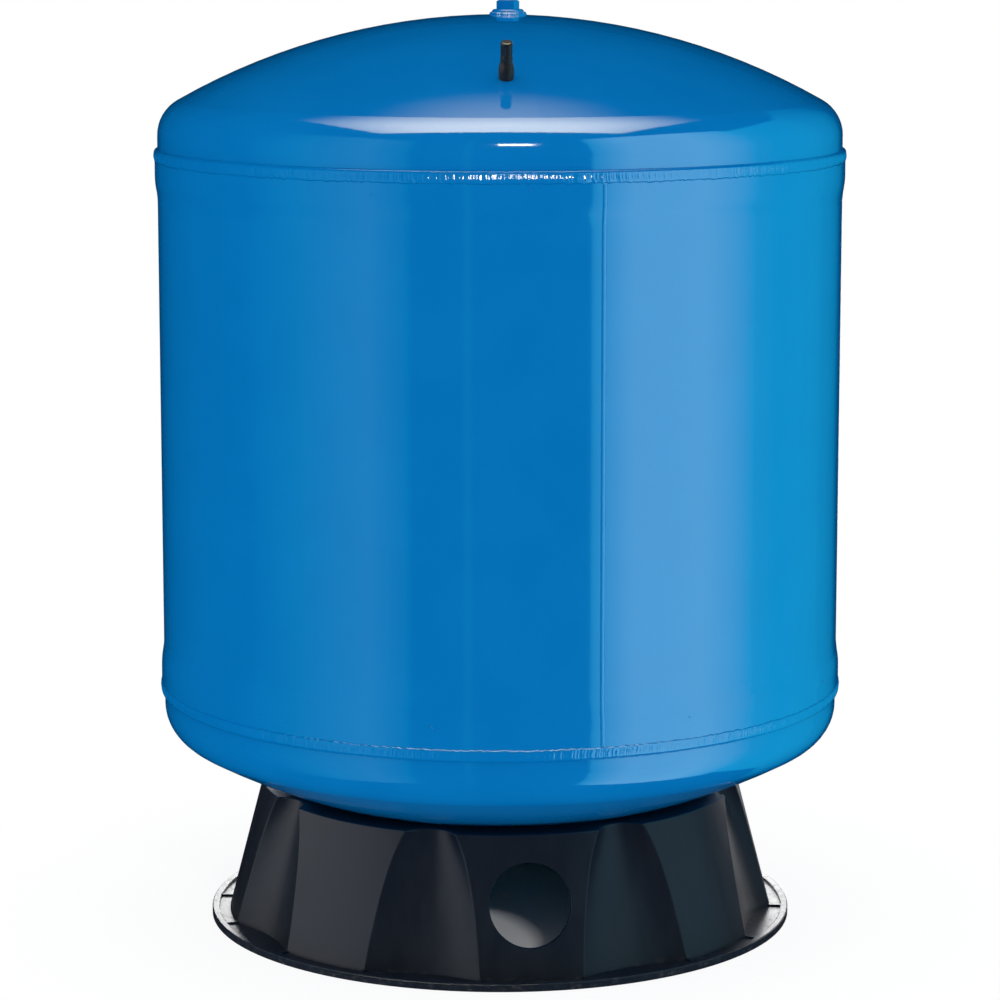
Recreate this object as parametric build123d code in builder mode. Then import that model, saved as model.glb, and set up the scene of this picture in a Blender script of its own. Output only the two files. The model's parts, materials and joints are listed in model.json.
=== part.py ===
from build123d import *
import os
from math import acos, cos, degrees, pi, radians, sin, sqrt

# A vertical well pressure tank: a welded steel vessel of one rolled shell and two pressed heads,
# with a plugged port and an air valve on top, standing in a fluted skirt moulded in one piece.
# Millimetres. The origin is on the floor under the middle of the tank, +Z is up, and the pipe hole
# of the base faces -Y. Turns are in degrees about +Z, counted from the pipe hole towards +X.

# Vessel
shell_od = 609.6  # across the two opened-out ends of the shell
shell_length = 482.0
shell_wall = 2.3
bell_rise = 2.3  # how much larger in radius the ends are than the middle
bell_taper = 14.0  # stretch over which the shell opens out
bell_bend = 60.0  # radius of the two bends of that stretch
bell_margin = 2.0  # straight end that goes on past the head inside it
lap_fit = 0.25  # radial room between a head and the shell around it
head_wall = 2.3
crown_radius = 580.0
knuckle_radius = 34.5
flange_show = 13.0  # straight rim of a head outside the shell
flange_lap = 25.0  # straight rim of a head inside the shell
tank_lift = 92.0  # lowest point of the vessel above the floor

# Welds
lap_weld_leg = 9.0  # along the shell
lap_weld_toe = 2.0  # along the head
lap_weld_proud = 0.7
lap_weld_crest = 2.5  # distance of the thickest place from the shell's edge
lap_weld_shoulder = 0.35  # how far its shoulder stands out from the shell's corner, both ways
lap_weld_heel = 0.52  # how proud it is halfway from its crest to its end
long_weld_turn = 9.6
long_weld_width = 4.0
long_weld_proud = 0.5
port_weld_leg = 3.0
port_weld_bow = 0.65  # how far out a port weld's face bows, as a share of its leg

# Top port and its plug
port_offset = 7.0  # the top port was pierced this far from the middle, towards +X
port_fit = 0.2  # radial room of a port in the hole of its head
collar_od = 27.8
collar_rise = 4.6
collar_depth = 13.0
collar_round = 1.8
port_bore = 17.1
thread_fit = 0.2  # radial room of a thread drawn plain
plug_flats = 17.46
plug_turn = -6.5
plug_head = 8.0
plug_shank = 8.0
plug_bevel = 1.2

# Water bag and its two ties
bag_wall = 2.0
bag_fit = 0.2  # radial room between a neck and what it is pushed over
bag_low_width = 340.0
bag_low_height = 85.0  # of its low corner above the mouth
bag_mid_width = 230.0
bag_mid_height = 400.0
bag_neck = 14.0
bag_neck_bend = 8.0
bag_low_bend = 60.0
bag_mid_bend = 250.0
tie_wall = 1.2
tie_width = 8.0
tie_fit = 0.1
hanger_flange = 3.0
hanger_tail_radius = 9.0
hanger_stud = 4.0

# Discharge fitting in the lower head
fitting_od = 55.0
fitting_bore = 39.0
fitting_drop = 3.6  # how far its face stands below the head
fitting_length = 32.0
fitting_bevel = 1.5
fitting_weld_leg = 4.0
guard_thick = 2.5
guard_margin = 4.0  # how much wider in radius the guard is than the bore
guard_fit = 0.2
guard_hole = 5.0
guard_rings = {6: 0.33, 12: 0.66}  # holes in a ring, and its radius as a share of the guard's

# Air valve
valve_inset = 76.25  # of its foot from the straight rim of the head
valve_turn = -5.2
valve_hole = 11.3
valve_height = 33.0  # top of the cap above the head, along the valve
valve_fit = 0.1
stem_shoulder = 6.0
stem_bulge = 6.55
stem_bulge_height = 7.0
stem_neck = 5.1
stem_neck_height = 15.0
stem_button = 9.5
stem_button_thick = 5.0
stem_top_round = 0.6
tube_radius = 3.2
tube_tail = 3.0  # bare end inside the vessel
tube_thread = 3.85  # radius under the cap
tube_bevel = 0.5
tube_bore = 1.9  # radius
core_radius = 2.5
core_fit = 0.1
core_length = 8.0
core_wall = 0.75
core_end = 0.8  # thickness of the core's two ends
core_recess = 1.2  # top of the core below the end of the tube
pin_radius = 0.6
pin_fit = 0.2
pin_recess = 0.3  # tip below the end of the tube
pin_collar_thick = 0.5
seal_radius = 1.6
seal_thick = 1.2
seal_gap = 0.05
spring_wire = 0.3  # diameter
spring_turns = 6
cap_radius = 4.95
cap_length = 12.4
cap_top = 1.6
cap_round = 1.5
cap_fit = 0.15  # radial room over the thread
cap_gasket = 0.8
cap_gap = 0.15  # between the cap and what it is screwed down on

# Base
rim_height = 123.0
rim_radius = 215.0
foot_radius = 246.0
base_wall = 4.0
ledge_thick = 4.0
ledge_inner = 150.0
seat_fit = 0.3
flange_width = 16.2  # beyond the foot of the skirt
flange_thick = 4.0
lip_width = 6.5
lip_rise = 2.5
lip_round = 1.0
flutes = 8
flute_rim_radius = 22.7
flute_rim_depth = 13.7
flute_foot_radius = 161.5
flute_foot_depth = 14.0
web_thick = 3.0
rib_thick = 4.0
rib_depth = 34.0
pipe_hole = 70.0
pipe_hole_height = 65.0
pipe_hole_round = 1.0
rim_round = 1.2
flute_round = 2.5

# Clips that hold the base on the lower head
clips = 4
clip_angle = 9.0
clip_thick = 2.0
clip_foot = 30.0  # length along the head
clip_hook = 18.0  # length under the ledge
clip_gap = 0.3


def upright(turn):
    """The plane that stands on the tank's axis: its x points out at this turn, its y is up."""
    out = Vector(0, -1, 0).rotate(Axis.Z, turn)
    return Plane(origin=(0, 0, 0), x_dir=out, z_dir=out.cross(Vector(0, 0, 1)))


# Places that follow from the sizes above
shell_radius = shell_od / 2
waist_radius = shell_radius - bell_rise
bell_length = flange_lap + bell_margin
head_radius = shell_radius - shell_wall - lap_fit
knuckle_centre = head_radius - knuckle_radius
crown_drop = sqrt((crown_radius - knuckle_radius) ** 2 - knuckle_centre**2)
head_depth = flange_show + crown_radius - crown_drop
shell_low = tank_lift + head_depth
shell_high = shell_low + shell_length
tank_top = shell_high + head_depth
low_crown_z = tank_lift + crown_radius
high_crown_z = tank_top - crown_radius
section = upright(0)


# Shell

with BuildPart() as shell:
    with BuildSketch(section) as shell_section:
        with BuildLine():
            skin = Polyline(
                (shell_radius, shell_low),
                (shell_radius, shell_low + bell_length),
                (waist_radius, shell_low + bell_length + bell_taper),
                (waist_radius, shell_high - bell_length - bell_taper),
                (shell_radius, shell_high - bell_length),
                (shell_radius, shell_high),
            )
            Polyline(
                skin @ 1,
                (shell_radius - shell_wall, shell_high),
                (shell_radius - shell_wall, shell_high - bell_length),
                (waist_radius - shell_wall, shell_high - bell_length - bell_taper),
                (waist_radius - shell_wall, shell_low + bell_length + bell_taper),
                (shell_radius - shell_wall, shell_low + bell_length),
                (shell_radius - shell_wall, shell_low),
                skin @ 0,
            )
        make_face()
        ends_left_out = (False, False)
        bends = shell_section.vertices().filter_by_position(Axis.Y, shell_low, shell_high, ends_left_out)
        fillet(bends, radius=bell_bend)
    revolve(axis=Axis.Z)
shell.part.label = "shell"


# Heads: a shallow crown, a tight knuckle and a straight rim that slips into the shell

def head_section(edge, way):
    """Half the section of a head whose shell ends at this height; way is 1 up and -1 down."""
    tangent = edge + way * flange_show
    centre = tangent - way * crown_drop
    lean = acos(crown_drop / (crown_radius - knuckle_radius))
    turned = pi / 2 - lean

    def on_crown(radius, angle):
        return (radius * sin(angle), centre + way * radius * cos(angle))

    def on_knuckle(radius, angle):
        return (knuckle_centre + radius * cos(angle), tangent + way * radius * sin(angle))

    with BuildSketch(section) as sketch:
        with BuildLine():
            for inset in (0, head_wall):
                crown = crown_radius - inset
                knuckle = knuckle_radius - inset
                rim = head_radius - inset
                ThreePointArc(on_crown(crown, 0), on_crown(crown, lean / 2), on_crown(crown, lean))
                ThreePointArc(on_crown(crown, lean), on_knuckle(knuckle, turned / 2), (rim, tangent))
                Line((rim, tangent), (rim, edge - way * flange_lap))
            Line(on_crown(crown_radius, 0), on_crown(crown_radius - head_wall, 0))
            Line((head_radius, edge - way * flange_lap), (head_radius - head_wall, edge - way * flange_lap))
        make_face()
    return sketch.sketch


# The air valve stands square to the crown
valve_reach = head_radius - valve_inset
valve_axis_dir = Vector(0, -valve_reach, sqrt(crown_radius**2 - valve_reach**2)).rotate(Axis.Z, valve_turn)
valve_foot = Vector(0, 0, high_crown_z) + valve_axis_dir
valve_side = Vector(1, 0, 0).rotate(Axis.Z, valve_turn)
valve_plane = Plane(origin=valve_foot, x_dir=valve_side, z_dir=valve_axis_dir)
valve_section = Plane(origin=valve_foot, x_dir=valve_side, z_dir=valve_side.cross(valve_axis_dir))
valve_axis = Axis(valve_foot, valve_axis_dir)

port_section = Plane(origin=(port_offset, 0, 0), x_dir=(1, 0, 0), z_dir=(0, -1, 0))
port_axis = Axis((port_offset, 0, 0), (0, 0, 1))

with BuildPart() as upper_head:
    add(head_section(shell_high, 1))
    revolve(axis=Axis.Z)
    with Locations((port_offset, 0, tank_top)):
        Cylinder(collar_od / 2 + port_fit, collar_depth, mode=Mode.SUBTRACT)
    with Locations(valve_plane):
        Cylinder(valve_hole / 2, valve_height, mode=Mode.SUBTRACT)
upper_head.part.label = "upper_head"

with BuildPart() as lower_head:
    add(head_section(shell_low, -1))
    revolve(axis=Axis.Z)
    with Locations((0, 0, tank_lift)):
        Cylinder(fitting_od / 2 + port_fit, fitting_length, mode=Mode.SUBTRACT)
lower_head.part.label = "lower_head"


# Lap welds: a wide bead over each end of the shell, down to the head

def lap_weld_section(edge, way):
    with BuildSketch(section) as sketch:
        Polygon(
            (head_radius, edge),
            (head_radius, edge + way * lap_weld_toe),
            (shell_radius + lap_weld_shoulder, edge + way * lap_weld_shoulder),
            (shell_radius + lap_weld_proud, edge - way * lap_weld_crest),
            (shell_radius + lap_weld_heel, edge - way * (lap_weld_crest + lap_weld_leg) / 2),
            (shell_radius, edge - way * lap_weld_leg),
            (shell_radius, edge),
            align=None,
        )
    return sketch.sketch


with BuildPart() as upper_seam_weld:
    add(lap_weld_section(shell_high, 1))
    revolve(axis=Axis.Z)
upper_seam_weld.part.label = "upper_seam_weld"

with BuildPart() as lower_seam_weld:
    add(lap_weld_section(shell_low, -1))
    revolve(axis=Axis.Z)
lower_seam_weld.part.label = "lower_seam_weld"

# The seam along the rolled shell, ground low between the two lap welds

with BuildPart() as shell_seam_weld:
    half_turn = degrees(long_weld_width / 2 / shell_radius)
    seam_low = shell_low + lap_weld_leg + long_weld_proud
    seam_high = shell_high - lap_weld_leg - long_weld_proud
    in_metal = shell_wall / 2
    with BuildSketch(upright(long_weld_turn - half_turn)) as seam_section:
        with BuildLine():
            for outset in (long_weld_proud, -in_metal):
                Polyline(
                    (shell_radius + outset, seam_low),
                    (shell_radius + outset, shell_low + bell_length),
                    (waist_radius + outset, shell_low + bell_length + bell_taper),
                    (waist_radius + outset, shell_high - bell_length - bell_taper),
                    (shell_radius + outset, shell_high - bell_length),
                    (shell_radius + outset, seam_high),
                )
            for end in (seam_low, seam_high):
                Line((shell_radius + long_weld_proud, end), (shell_radius - in_metal, end))
        make_face()
        bends = seam_section.vertices().filter_by_position(Axis.Y, seam_low, seam_high, ends_left_out)
        fillet(bends, radius=bell_bend)
    revolve(axis=Axis.Z, revolution_arc=2 * half_turn)
    add(shell.part, mode=Mode.SUBTRACT)
shell_seam_weld.part.label = "shell_seam_weld"


# Ports: a collar with a hex plug on top, and the threaded discharge fitting underneath

def port_weld_section(plane, radius, apex, leg, way):
    """A fillet weld round a port, drawn down into the head that is cut from it afterwards."""
    sunk = apex - way * head_wall / 2
    with BuildSketch(plane) as sketch:
        with BuildLine():
            ThreePointArc(
                (radius + leg, sunk),
                (radius + port_weld_bow * leg, apex + way * port_weld_bow * leg),
                (radius, apex + way * leg),
            )
            Polyline((radius, apex + way * leg), (radius, sunk), (radius + leg, sunk))
        make_face()
    return sketch.sketch


collar_radius = collar_od / 2
collar_low = tank_top - collar_depth
collar_high = tank_top + collar_rise
port_thread = port_bore / 2 - thread_fit

with BuildPart() as plug_collar:
    with BuildSketch(port_section) as collar_section:
        with Locations(((collar_radius + port_bore / 2) / 2, (collar_low + collar_high) / 2)):
            Rectangle(collar_radius - port_bore / 2, collar_high - collar_low)
        corner = collar_section.vertices().group_by(Axis.Y)[-1].sort_by(Axis.X)[-1]
        fillet(corner, radius=collar_round)
    revolve(axis=port_axis)
plug_collar.part.label = "plug_collar"

with BuildPart() as collar_weld:
    add(port_weld_section(port_section, collar_radius, tank_top, port_weld_leg, 1))
    revolve(axis=port_axis)
    add(upper_head.part, mode=Mode.SUBTRACT)
collar_weld.part.label = "collar_weld"

with BuildPart() as top_plug:
    with BuildSketch(Plane.XY.offset(collar_high)):
        with Locations((port_offset, 0)):
            RegularPolygon(plug_flats / 2, 6, major_radius=False, rotation=plug_turn)
    extrude(amount=plug_head)
    # the top of the hex is turned to a bevel
    plug_corner = plug_flats / 2 / cos(radians(30))
    plug_high = collar_high + plug_head
    with BuildSketch(port_section):
        Polygon(
            (0, collar_high),
            (plug_corner, collar_high),
            (plug_corner, plug_high - plug_bevel),
            (plug_flats / 2 - plug_bevel / 2, plug_high),
            (0, plug_high),
            align=None,
        )
    revolve(axis=port_axis, mode=Mode.INTERSECT)
    with Locations((port_offset, 0, collar_high)):
        Cylinder(port_thread, plug_shank, align=(Align.CENTER, Align.CENTER, Align.MAX))
top_plug.part.label = "top_plug"

fitting_radius = fitting_od / 2
fitting_low = tank_lift - fitting_drop
fitting_high = fitting_low + fitting_length
guard_radius = fitting_bore / 2 + guard_margin
guard_seat = fitting_high - guard_thick

with BuildPart() as discharge_fitting:
    with BuildSketch(section):
        Polygon(
            (fitting_bore / 2, fitting_low + fitting_bevel),
            (fitting_bore / 2 + fitting_bevel, fitting_low),
            (fitting_radius - fitting_bevel / 2, fitting_low),
            (fitting_radius, fitting_low + fitting_bevel / 2),
            (fitting_radius, fitting_high),
            (guard_radius + guard_fit, fitting_high),
            (guard_radius + guard_fit, guard_seat),
            (fitting_bore / 2, guard_seat),
            align=None,
        )
    revolve(axis=Axis.Z)
discharge_fitting.part.label = "discharge_fitting"

with BuildPart() as fitting_weld:
    add(port_weld_section(section, fitting_radius, tank_lift, fitting_weld_leg, -1))
    revolve(axis=Axis.Z)
    add(lower_head.part, mode=Mode.SUBTRACT)
    # kept clear of the fitting's lower edge
    with Locations((0, 0, fitting_low + fitting_bevel)):
        Cylinder(
            fitting_radius + 2 * fitting_weld_leg,
            fitting_weld_leg,
            align=(Align.CENTER, Align.CENTER, Align.MAX),
            mode=Mode.SUBTRACT,
        )
fitting_weld.part.label = "fitting_weld"

# A perforated disc keeps the bag from being pushed into the port
with BuildPart() as outlet_guard:
    with BuildSketch(Plane.XY.offset(guard_seat)):
        Circle(guard_radius)
        Circle(guard_hole / 2, mode=Mode.SUBTRACT)
        for count, share in guard_rings.items():
            with PolarLocations(share * guard_radius, count):
                Circle(guard_hole / 2, mode=Mode.SUBTRACT)
    extrude(amount=guard_thick)
outlet_guard.part.label = "outlet_guard"


# Water bag: slack rubber between the fitting and a hanger in the top port

hanger_low = collar_low - hanger_flange - bag_neck
mouth_low = fitting_high - bag_neck
bag_foot = Vector(0, 0, mouth_low)
bag_head = Vector(port_offset, 0, collar_low - hanger_flange)
bag_length = (bag_head - bag_foot).length
bag_up = (bag_head - bag_foot).normalized()
bag_across = Vector(0, 1, 0).cross(bag_up)
bag_plane = Plane(origin=bag_foot, x_dir=bag_across, z_dir=bag_up)
bag_section = Plane(origin=bag_foot, x_dir=bag_across, z_dir=bag_across.cross(bag_up))
low_neck = fitting_radius + bag_fit
high_neck = hanger_tail_radius + bag_fit

with BuildPart() as bag_hanger:
    with BuildSketch(port_section):
        Polygon(
            (0, hanger_low),
            (hanger_tail_radius, hanger_low),
            (hanger_tail_radius, collar_low - hanger_flange),
            (collar_radius, collar_low - hanger_flange),
            (collar_radius, collar_low),
            (port_thread, collar_low),
            (port_thread, collar_low + hanger_stud),
            (0, collar_low + hanger_stud),
            align=None,
        )
    revolve(axis=port_axis)
bag_hanger.part.label = "bag_hanger"

with BuildPart() as water_bag:
    with BuildSketch(bag_section):
        with BuildLine():
            FilletPolyline(
                (low_neck, 0),
                (low_neck, bag_neck + bag_neck_bend),
                (bag_low_width / 2, bag_low_height),
                (bag_mid_width / 2, bag_mid_height),
                (high_neck, bag_length - bag_neck - bag_neck_bend),
                (high_neck, bag_length - bag_fit),
                radius=[bag_neck_bend, bag_low_bend, bag_mid_bend, bag_neck_bend],
            )
            offset(amount=bag_wall, side=Side.RIGHT, mode=Mode.ADD)
        make_face()
    revolve(axis=Axis(bag_foot, bag_up))
water_bag.part.label = "water_bag"


def tie(neck, height):
    """A crimped band round a neck of the bag, this far along the bag."""
    inner = neck + bag_wall + tie_fit
    with BuildPart() as band:
        with BuildSketch(bag_plane.offset(height)):
            Circle(inner + tie_wall)
            Circle(inner, mode=Mode.SUBTRACT)
        extrude(amount=tie_width)
    return band.part


with BuildPart() as lower_bag_tie:
    add(tie(low_neck, (bag_neck - tie_width) / 2))
lower_bag_tie.part.label = "lower_bag_tie"

with BuildPart() as upper_bag_tie:
    add(tie(high_neck, bag_length - (bag_neck + tie_width) / 2))
upper_bag_tie.part.label = "upper_bag_tie"


# Air valve: a rubber stem snapped into the head, with a brass tube, a core and a cap

cap_low = valve_height - cap_length
gasket_low = valve_height - cap_top - cap_gasket
tube_high = gasket_low - cap_gap
stem_high = cap_low - cap_gap
button_high = -head_wall - valve_fit
button_low = button_high - stem_button_thick
tube_low = button_low - tube_tail
core_high = tube_high - core_recess
core_low = core_high - core_length
core_bore = core_radius - core_wall
pin_high = tube_high - pin_recess
seal_high = core_low - seal_gap
collar_pin_high = core_high - core_end - seal_gap

with BuildPart() as valve_stem:
    with BuildSketch(valve_section) as stem_section:
        with BuildLine():
            Polyline(
                (stem_shoulder, valve_fit),
                (valve_hole / 2 - valve_fit, valve_fit),
                (valve_hole / 2 - valve_fit, button_high),
                (stem_button, button_high),
                (stem_button, button_low),
                (tube_radius, button_low),
                (tube_radius, stem_high),
                (stem_neck, stem_high),
                (stem_neck, stem_neck_height),
            )
            ThreePointArc(
                (stem_neck, stem_neck_height), (stem_bulge, stem_bulge_height), (stem_shoulder, valve_fit)
            )
        make_face()
        top_edge = stem_section.vertices().group_by(Axis.Y)[-1].sort_by(Axis.X)[-1]
        fillet(top_edge, radius=stem_top_round)
    revolve(axis=valve_axis)
valve_stem.part.label = "valve_stem"

with BuildPart() as stem_tube:
    with BuildSketch(valve_section):
        Polygon(
            (tube_bore, tube_low),
            (tube_radius, tube_low),
            (tube_radius, cap_low),
            (tube_thread, cap_low + tube_bevel),
            (tube_thread, tube_high - tube_bevel),
            (tube_thread - tube_bevel, tube_high),
            (core_radius + core_fit, tube_high),
            (core_radius + core_fit, core_low),
            (tube_bore, core_low),
            align=None,
        )
    revolve(axis=valve_axis)
stem_tube.part.label = "stem_tube"

with BuildPart() as valve_core:
    with BuildSketch(valve_section):
        with Locations((0, core_low)):
            Rectangle(core_radius, core_length, align=Align.MIN)
        with Locations((0, core_low + core_end)):
            Rectangle(core_bore, core_length - 2 * core_end, align=Align.MIN, mode=Mode.SUBTRACT)
        with Locations((0, core_low)):
            Rectangle(pin_radius + pin_fit, core_length, align=Align.MIN, mode=Mode.SUBTRACT)
    revolve(axis=valve_axis)
valve_core.part.label = "valve_core"

# The pin carries a collar for the spring and a rubber seal that shuts the core from below
with BuildPart() as core_pin:
    with BuildSketch(valve_section):
        with Locations((0, seal_high - seal_thick)):
            Rectangle(pin_radius, pin_high - seal_high + seal_thick, align=Align.MIN)
        with Locations((0, collar_pin_high - pin_collar_thick)):
            Rectangle(core_bore - pin_fit, pin_collar_thick, align=Align.MIN)
    revolve(axis=valve_axis)
core_pin.part.label = "core_pin"

with BuildPart() as core_seal:
    with BuildSketch(valve_section):
        with Locations((pin_radius, seal_high - seal_thick)):
            Rectangle(seal_radius - pin_radius, seal_thick, align=Align.MIN)
    revolve(axis=valve_axis)
core_seal.part.label = "core_seal"

spring_low = core_low + core_end + spring_wire / 2 + seal_gap
spring_high = collar_pin_high - pin_collar_thick - spring_wire / 2 - seal_gap
spring_radius = core_bore - pin_fit - spring_wire / 2

with BuildPart() as core_spring:
    with BuildLine():
        coil = Helix(
            (spring_high - spring_low) / spring_turns,
            spring_high - spring_low,
            spring_radius,
            center=valve_foot + valve_axis_dir.normalized() * spring_low,
            direction=valve_axis_dir,
        )
    with BuildSketch(Plane(origin=coil @ 0, z_dir=coil % 0)):
        Circle(spring_wire / 2)
    sweep()
core_spring.part.label = "core_spring"

with BuildPart() as valve_cap:
    with BuildSketch(valve_section) as cap_section:
        with Locations((0, cap_low)):
            Rectangle(cap_radius, cap_length, align=Align.MIN)
        rounded = cap_section.vertices().group_by(Axis.Y)[-1].sort_by(Axis.X)[-1]
        fillet(rounded, radius=cap_round)
        with Locations((0, cap_low)):
            Rectangle(tube_thread + cap_fit, cap_length - cap_top, align=Align.MIN, mode=Mode.SUBTRACT)
    revolve(axis=valve_axis)
valve_cap.part.label = "valve_cap"

with BuildPart() as cap_gasket_disc:
    with BuildSketch(valve_plane.offset(gasket_low)):
        Circle(tube_thread)
    extrude(amount=cap_gasket)
cap_gasket_disc.part.label = "cap_gasket"


# Base: a thin fluted skirt with a dished ledge that the lower head sits in

def along_skirt(foot, rim, height):
    """A size of the skirt at this height, given at its foot and at its rim."""
    return foot + (rim - foot) * (height - flange_thick) / (rim_height - flange_thick)


flute_foot_centre = foot_radius - flute_foot_depth + flute_foot_radius
flute_rim_centre = rim_radius - flute_rim_depth + flute_rim_radius
flute_pitch = 360 / flutes
first_flute = -90 + flute_pitch / 2  # as a direction counted from +X
flute_reach = 2.0  # how far a flute is cut past the skirt's two ends


def fluted_block(inset, low, high):
    """The skirt as a full block between two heights, with its side set in by this much."""
    flute_low = low - flute_reach
    flute_high = high + flute_reach
    with BuildPart() as flute:
        for height in (flute_low, flute_high):
            with BuildSketch(Plane.XY.offset(height)):
                with Locations((along_skirt(flute_foot_centre, flute_rim_centre, height), 0)):
                    Circle(along_skirt(flute_foot_radius, flute_rim_radius, height) + inset)
        loft(ruled=True)
    with BuildPart() as block:
        with BuildSketch(section):
            Polygon(
                (0, low),
                (along_skirt(foot_radius, rim_radius, low) - inset, low),
                (along_skirt(foot_radius, rim_radius, high) - inset, high),
                (0, high),
                align=None,
            )
        revolve(axis=Axis.Z)
        with PolarLocations(0, flutes, start_angle=first_flute):
            add(flute.part, mode=Mode.SUBTRACT)
    return block.part


ledge_low = rim_height - ledge_thick
flange_radius = foot_radius + flange_width
lip_inner = flange_radius - lip_width
lip_high = flange_thick + lip_rise
# where the two edges of a flute meet the foot, as a turn from the flute's middle
flute_half_turn = degrees(
    acos(
        (flute_foot_centre**2 + foot_radius**2 - flute_foot_radius**2)
        / (2 * flute_foot_centre * foot_radius)
    )
)

with BuildPart() as base:
    add(fluted_block(0, 0, rim_height))
    fillet([e for e in base.edges() if e.bounding_box().size.Z > rim_height / 2], radius=flute_round)
    fillet(base.faces().sort_by(Axis.Z)[-1].edges(), radius=rim_round)
    with BuildSketch(section) as flange_section:
        Rectangle(flange_radius, flange_thick, align=Align.MIN)
        with Locations((lip_inner, 0)):
            Rectangle(lip_width, lip_high, align=Align.MIN)
        fillet(flange_section.vertices().group_by(Axis.Y)[-1], radius=lip_round)
    revolve(axis=Axis.Z)
    web_length = lip_inner - foot_radius + base_wall / 2 + lip_round
    for side in (-1, 1):
        with BuildSketch():
            with PolarLocations(
                foot_radius - base_wall / 2 + web_length / 2,
                flutes,
                start_angle=first_flute + side * flute_half_turn,
            ):
                Rectangle(web_length, web_thick)
        extrude(amount=lip_high - lip_round)
    add(fluted_block(base_wall, -flute_reach, ledge_low), mode=Mode.SUBTRACT)
    # ribs under the ledge, one at each land except the one with the pipe hole
    rib_low = ledge_low - rib_depth
    for index in range(1, flutes):
        with BuildSketch(upright(index * flute_pitch)):
            Polygon(
                (ledge_inner, ledge_low),
                (rim_radius - base_wall / 2, ledge_low),
                (along_skirt(foot_radius, rim_radius, rib_low) - base_wall / 2, rib_low),
                (ledge_inner, ledge_low - ledge_thick - seat_fit - head_wall),
                align=None,
            )
        extrude(amount=rib_thick / 2, both=True)
    # the dish under the head
    with BuildPart(mode=Mode.PRIVATE) as dish:
        with BuildSketch():
            Circle(rim_radius - flute_rim_depth - base_wall)
            Circle(ledge_inner, mode=Mode.SUBTRACT)
        extrude(amount=rim_height)
        with Locations((0, 0, low_crown_z)):
            Sphere(crown_radius + seat_fit + ledge_thick, mode=Mode.INTERSECT)
    add(dish.part)
    with Locations((0, 0, low_crown_z)):
        Sphere(crown_radius + seat_fit, mode=Mode.SUBTRACT)
    with BuildSketch(Plane.XZ.offset(ledge_inner)):
        with Locations((0, pipe_hole_height)):
            Circle(pipe_hole / 2)
    extrude(amount=flange_radius - ledge_inner, mode=Mode.SUBTRACT)
    hole_wall = base.faces().filter_by(GeomType.CYLINDER).filter_by(
        lambda f: abs(f.bounding_box().size.X - pipe_hole) < pipe_hole_round
    )[0]
    fillet(hole_wall.edges().sort_by(Axis.Y)[0], radius=pipe_hole_round)
base.part.label = "base"


# Clips: bent tabs spot-welded to the lower head, which the inner edge of the ledge snaps over

def under_head(radius, below):
    """A point this far out and this far below the lower head's outside."""
    return (radius, low_crown_z - sqrt((crown_radius + below) ** 2 - radius**2))


clip_outer = ledge_inner - clip_gap
clip_inner = clip_outer - clip_thick
clip_drop = seat_fit + ledge_thick + clip_gap
foot_end = clip_inner - clip_foot
hook_end = clip_outer + clip_hook
clip_edges = [
    (foot_end, clip_outer, 0),
    (clip_outer, hook_end, clip_drop),
    (hook_end, clip_inner, clip_drop + clip_thick),
    (clip_inner, foot_end, clip_thick),
]

with BuildPart() as base_clips:
    for index in range(clips):
        with BuildSketch(upright((index + 0.5) * 360 / clips - flute_pitch / 2 - clip_angle / 2)):
            with BuildLine():
                for number, (start, stop, below) in enumerate(clip_edges):
                    next_start, _, next_below = clip_edges[(number + 1) % len(clip_edges)]
                    ThreePointArc(
                        under_head(start, below),
                        under_head((start + stop) / 2, below),
                        under_head(stop, below),
                    )
                    Line(under_head(stop, below), under_head(next_start, next_below))
            make_face()
        revolve(axis=Axis.Z, revolution_arc=clip_angle)
base_clips.part.label = "base_clips"


os.makedirs("parts", exist_ok=True)
pieces = [
    shell, upper_head, lower_head, upper_seam_weld, lower_seam_weld, shell_seam_weld,
    plug_collar, collar_weld, top_plug, discharge_fitting, fitting_weld, outlet_guard,
    bag_hanger, water_bag, lower_bag_tie, upper_bag_tie,
    valve_stem, stem_tube, valve_core, core_pin, core_seal, core_spring, valve_cap, cap_gasket_disc,
    base, base_clips,
]
for piece in pieces:
    export_step(piece.part, f"parts/{piece.part.label}.step")
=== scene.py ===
# %% [markdown]
# # A well pressure tank, seen as in a product photograph
#
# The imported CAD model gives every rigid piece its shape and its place. This script adds what a CAD
# model lacks: the paint, the plastic and the metal, the rough weld beads, the threads, and the light
# of a photographer's studio. It is read from top to bottom, one cell at a time.
# All lengths are metres. The origin is on the floor under the tank, +Z is up, and the pipe hole of
# the base faces -Y. A "turn" is an angle about +Z, counted in degrees from the pipe hole towards +X.

import json
from math import cos, pi, radians, sin

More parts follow.
